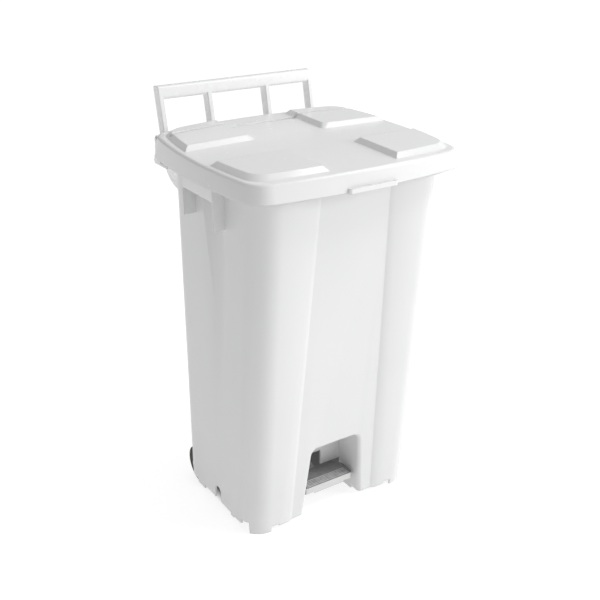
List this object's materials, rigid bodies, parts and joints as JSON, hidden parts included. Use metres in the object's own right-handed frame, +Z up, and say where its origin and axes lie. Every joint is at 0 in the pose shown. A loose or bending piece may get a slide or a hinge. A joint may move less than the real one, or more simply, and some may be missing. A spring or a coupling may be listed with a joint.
{
  "type": "pedal bin",
  "caption": "Upright white plastic pedal bin with a hinged lid, a foot pedal in a front recess, rear wheels and a fixed push handle behind the lid.",
  "frame": {"origin": "on the floor, under the middle of the whole bin's box", "axes": "+X across the bin, to the right of someone facing its front; -Y is the front with the pedal, +Y the back with the wheels and push handle; +Z up"},
  "size_m": [0.48, 0.4848, 0.834],
  "materials": {
    "white_body": "smooth moulded",
    "white_lid": "glossy moulded",
    "white_handle": "glossy moulded",
    "grey_pedal": "ribbed moulded",
    "zinc_steel": "zinc plated",
    "black_nylon": "moulded",
    "black_tyre": "moulded",
    "soft_stud": "soft"
  },
  "bodies": {
    "base": {"tub": "white_body", "push_handle": "white_handle", "handle_screws": "zinc_steel", "hinge_pins": "zinc_steel", "rod_guides": "black_nylon", "guide_screws": "zinc_steel", "axle_pins": "zinc_steel", "axle_washers": "black_nylon", "pedal_pin": "zinc_steel", "pin_clips": "zinc_steel"},
    "lid": {"lid": "white_lid", "lid_buffers": "soft_stud", "crank_pin": "zinc_steel"},
    "rod": {"push_rod": "zinc_steel", "rod_head": "black_nylon", "rod_foot": "black_nylon"},
    "pedal": {"pedal_lever": "zinc_steel", "pedal_tread": "grey_pedal", "tread_screws": "zinc_steel", "lever_pin": "zinc_steel"},
    "left_wheel": {"left_wheel_hub": "black_nylon", "left_wheel_tyre": "black_tyre"},
    "right_wheel": {"right_wheel_hub": "black_nylon", "right_wheel_tyre": "black_tyre"}
  },
  "joints": [
    {"name": "lid_hinge", "type": "hinge", "parent": "base", "child": "lid", "pos_m": [0, 0.17925, 0.744], "axis": [-1, 0, 0], "range_deg": [0, 75]},
    {"name": "rod_slide", "type": "slide", "parent": "base", "child": "rod", "axis": [0, 0, 1], "range_m": [0, 0.03046]},
    {"name": "pedal_pivot", "type": "hinge", "parent": "base", "child": "pedal", "pos_m": [0, 0.00925, 0.06], "axis": [1, 0, 0], "range_deg": [0, 11.81]},
    {"name": "left_wheel_spin", "type": "hinge", "parent": "base", "child": "left_wheel", "pos_m": [-0.178, 0.10525, 0.04], "axis": [1, 0, 0], "continuous": true},
    {"name": "right_wheel_spin", "type": "hinge", "parent": "base", "child": "right_wheel", "pos_m": [0.178, 0.10525, 0.04], "axis": [1, 0, 0], "continuous": true}
  ],
  "couplings": [
    {"joint": "rod_slide", "follows": "lid_hinge", "m_per_rad": 0.023253},
    {"joint": "pedal_pivot", "follows": "lid_hinge", "ratio": 0.15739}
  ]
}
